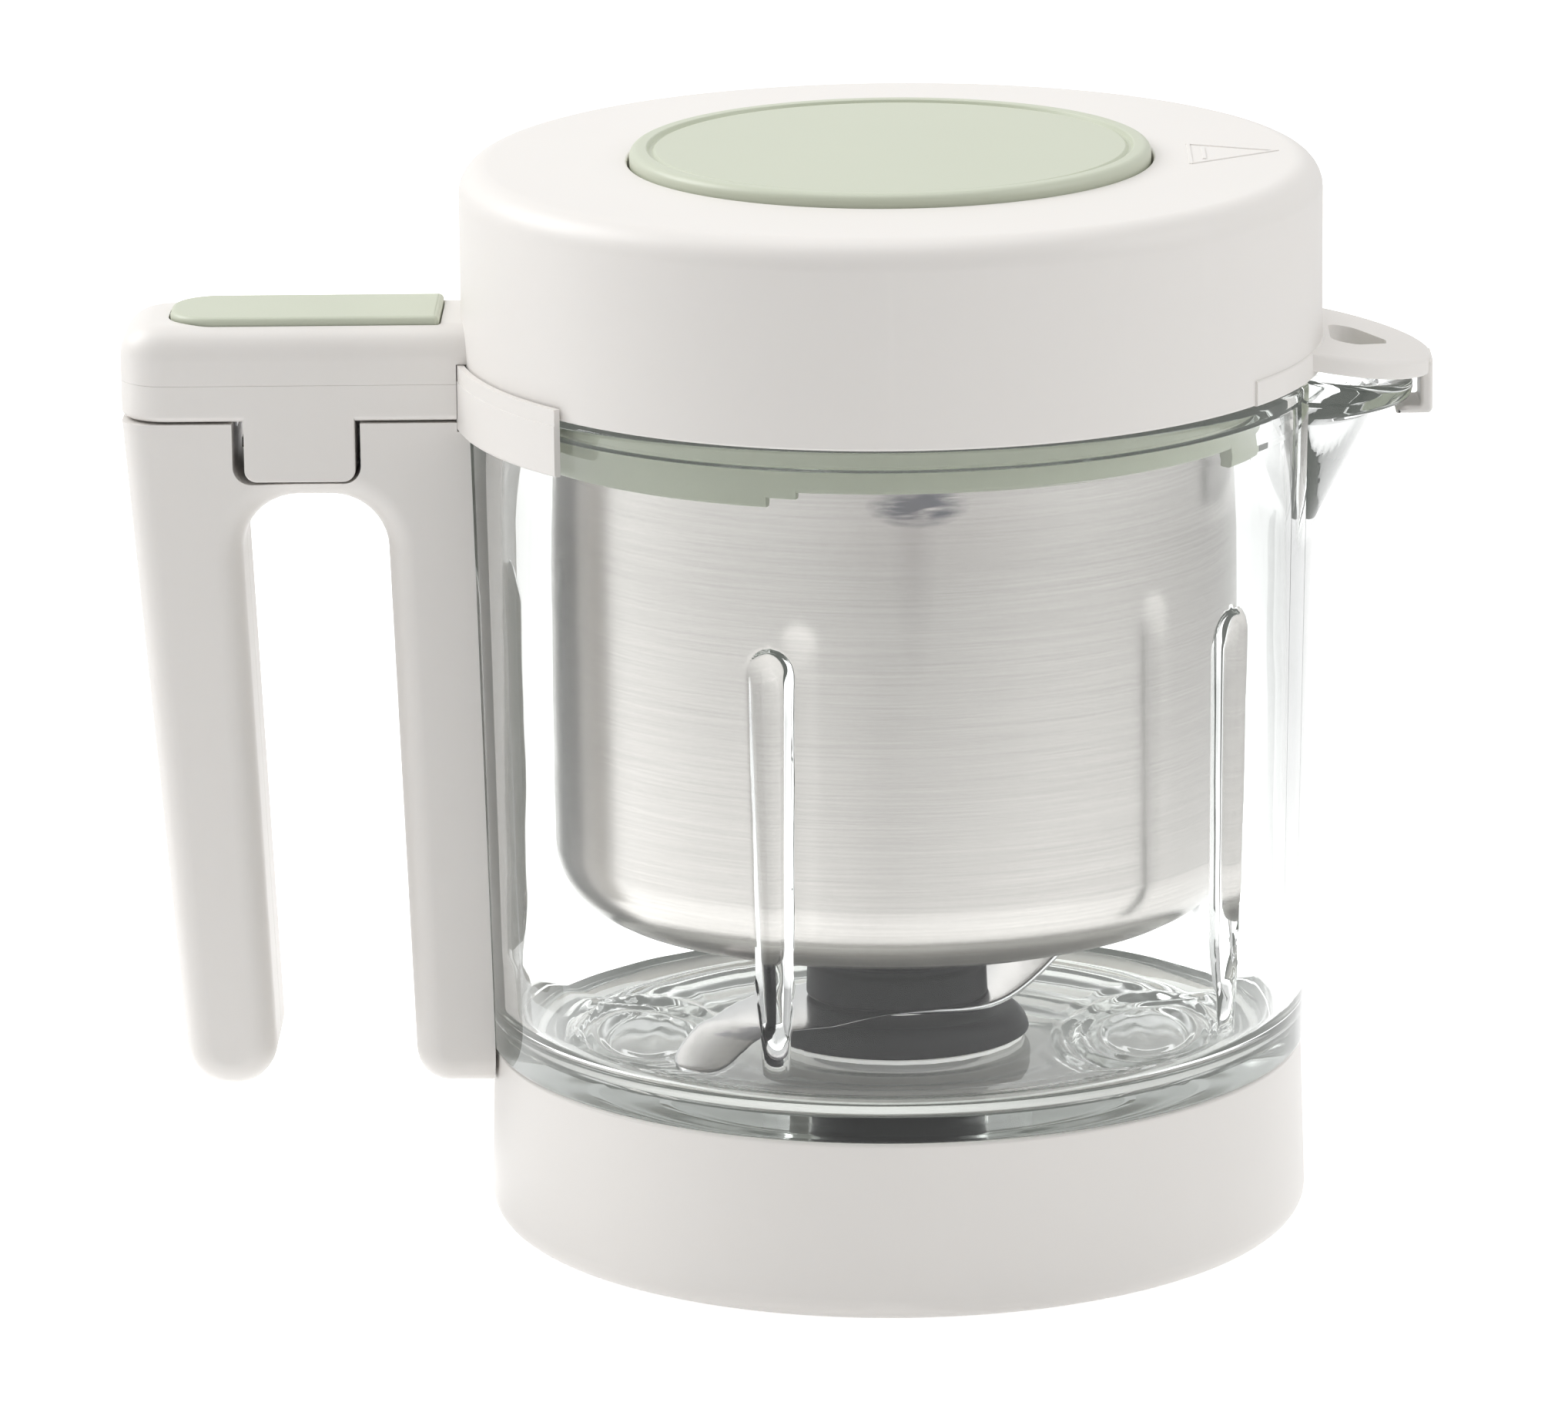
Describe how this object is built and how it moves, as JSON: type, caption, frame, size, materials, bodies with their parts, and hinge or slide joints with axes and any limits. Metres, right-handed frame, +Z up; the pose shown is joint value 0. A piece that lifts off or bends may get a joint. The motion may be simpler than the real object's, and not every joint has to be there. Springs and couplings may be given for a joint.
{
  "type": "baby food maker bowl",
  "caption": "Glass steaming and blending bowl of a baby food maker with open grip, latching lid, filling cap, steam basket and bladed drive.",
  "frame": {"origin": "middle of the footprint on the surface the bowl stands on; the bowl's own axis is at x = +0.0214", "axes": "+X from the handle to the pouring spout, +Y across the bowl, +Z up"},
  "size_m": [0.2434, 0.16, 0.2038],
  "materials": {
    "glass": "clear pressed glass",
    "white_plastic": "satin moulded",
    "sage_plastic": "satin moulded",
    "brushed_steel": "brushed round the cup",
    "bright_steel": "polished",
    "dark_grey_plastic": "satin moulded",
    "silicone": "translucent silicone",
    "bronze": "sintered"
  },
  "bodies": {
    "bowl": {"glass_bowl": "glass", "base_ring": "white_plastic", "base_gasket": "silicone", "blade_seat": "dark_grey_plastic", "seat_gasket": "silicone", "upper_bush": "bronze", "lower_bush": "bronze", "shaft_seal": "silicone", "steam_basket": "brushed_steel", "basket_ring": "sage_plastic", "handle_front_shell": "white_plastic", "handle_back_shell": "white_plastic", "handle_screw_1": "bright_steel", "handle_screw_2": "bright_steel", "handle_screw_3": "bright_steel", "handle_screw_4": "bright_steel", "latch_keeper": "bright_steel", "rim_collar": "white_plastic"},
    "blades": {"blade_hub": "dark_grey_plastic", "blade_plate": "bright_steel", "drive_shaft": "bright_steel", "drive_dog": "dark_grey_plastic", "shaft_clip": "bright_steel"},
    "nut": {"lock_nut": "white_plastic"},
    "lid": {"lid_shell": "white_plastic", "lid_liner": "white_plastic", "lid_screw_1": "bright_steel", "lid_screw_2": "bright_steel", "lid_screw_3": "bright_steel", "lid_seal": "silicone", "spout_guard": "white_plastic", "arm_lower_shell": "white_plastic", "arm_upper_shell": "white_plastic", "latch_pin": "bright_steel", "button_spring": "bright_steel"},
    "button": {"release_button": "sage_plastic"},
    "latch": {"latch_lever": "dark_grey_plastic"},
    "cap": {"lid_cap": "sage_plastic", "cap_seal": "silicone"}
  },
  "joints": [
    {"name": "blade_spin", "type": "hinge", "parent": "bowl", "child": "blades", "pos_m": [0.0214, 0, 0.0429], "axis": [0, 0, 1], "continuous": true},
    {"name": "nut_turn", "type": "hinge", "parent": "bowl", "child": "nut", "pos_m": [0.0214, 0, 0.0224], "axis": [0, 0, 1], "range_deg": [0, 60]},
    {"name": "lid_tilt", "type": "hinge", "parent": "bowl", "child": "lid", "pos_m": [0.1169, 0, 0.158], "axis": [0, 1, 0], "range_deg": [0, 20]},
    {"name": "cap_lift", "type": "slide", "parent": "lid", "child": "cap", "axis": [0, 0, 1], "range_m": [0, 0.03]},
    {"name": "button_press", "type": "slide", "parent": "lid", "child": "button", "axis": [0, 0, -1], "range_m": [0, 0.0025], "stiffness_N_per_m": 900, "springref_m": -0.003, "deforming": ["button_spring"]},
    {"name": "latch_swing", "type": "hinge", "parent": "lid", "child": "latch", "pos_m": [-0.0921, 0, 0.1625], "axis": [0, 1, 0], "range_deg": [-13, 0]}
  ],
  "couplings": [
    {"joint": "latch_swing", "follows": "button_press", "rad_per_m": -83.8}
  ]
}
